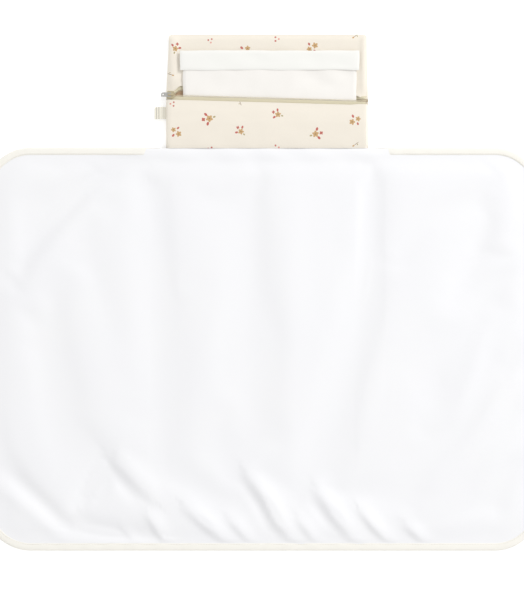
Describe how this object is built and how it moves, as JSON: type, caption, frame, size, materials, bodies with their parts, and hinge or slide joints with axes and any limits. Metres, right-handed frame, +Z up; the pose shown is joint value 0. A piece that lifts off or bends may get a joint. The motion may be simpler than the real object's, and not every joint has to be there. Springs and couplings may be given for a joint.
{
  "type": "changing_pad",
  "caption": "Folding travel changing pad in smooth white coated cloth with an ivory bound edge and a floral zipped pouch sewn to its top",
  "frame": {"origin": "middle of the pad's underside, with the pad lying open and face up", "axes": "+Z up from the surface it lies on, +X along the pad's length, +Y towards the pouch"},
  "size_m": [0.7, 0.6466, 0.012],
  "materials": {
    "coated_face": "satin",
    "wadding": "matte",
    "floral_cotton": "matte",
    "ivory_binding": "matte",
    "lining_cloth": "matte",
    "zip_tape": "matte",
    "zip_chain": "satin",
    "slider_metal": "satin",
    "pull_metal": "satin",
    "ribbon": "matte",
    "liner_cloth": "matte"
  },
  "bodies": {
    "middle_panel": {"middle_face_cover": "coated_face", "middle_wadding": "wadding", "middle_back_cover": "floral_cotton", "middle_edge_binding": "ivory_binding"},
    "left_panel": {"left_face_cover": "coated_face", "left_wadding": "wadding", "left_back_cover": "floral_cotton", "left_edge_binding": "ivory_binding"},
    "right_panel": {"right_face_cover": "coated_face", "right_wadding": "wadding", "right_back_cover": "floral_cotton", "right_edge_binding": "ivory_binding"},
    "pouch": {"pouch_back_panel": "floral_cotton", "pouch_lining": "lining_cloth", "pouch_front_upper": "floral_cotton", "pouch_front_lower": "floral_cotton", "pouch_side_left": "floral_cotton", "pouch_side_right": "floral_cotton", "zip_tape_upper": "zip_tape", "zip_tape_lower": "zip_tape", "zip_chain_upper": "zip_chain", "zip_chain_lower": "zip_chain", "zip_bottom_stop": "slider_metal", "zip_top_stops": "slider_metal", "side_tab": "ribbon"},
    "slider": {"zip_slider": "slider_metal"},
    "pull": {"zip_pull": "pull_metal"},
    "liner": {"liner_body": "liner_cloth", "liner_cuff": "liner_cloth"}
  },
  "joints": [
    {"name": "left_fold", "type": "hinge", "parent": "middle_panel", "child": "left_panel", "pos_m": [-0.1245, 0, 0.00575], "axis": [0, 1, 0], "range_deg": [0, 179.9]},
    {"name": "right_fold", "type": "hinge", "parent": "middle_panel", "child": "right_panel", "pos_m": [0.1355, 0, 0.009], "axis": [0, -1, 0], "range_deg": [0, 179.9]},
    {"name": "pouch_fold", "type": "hinge", "parent": "middle_panel", "child": "pouch", "pos_m": [0, 0.2525, 0.016], "axis": [1, 0, 0], "range_deg": [0, 179.9]},
    {"name": "zip_slide", "type": "slide", "parent": "pouch", "child": "slider", "axis": [0.9996, -0.0279, 0], "range_m": [0, 0.24]},
    {"name": "pull_swing", "type": "hinge", "parent": "slider", "child": "pull", "pos_m": [-0.11495, 0.31756, 0.0106], "axis": [0.0279, 0.9996, 0], "range_deg": [0, 179.9]},
    {"name": "liner_slide", "type": "slide", "parent": "pouch", "child": "liner", "axis": [0, 1, 0], "range_m": [0, 0.06]}
  ]
}
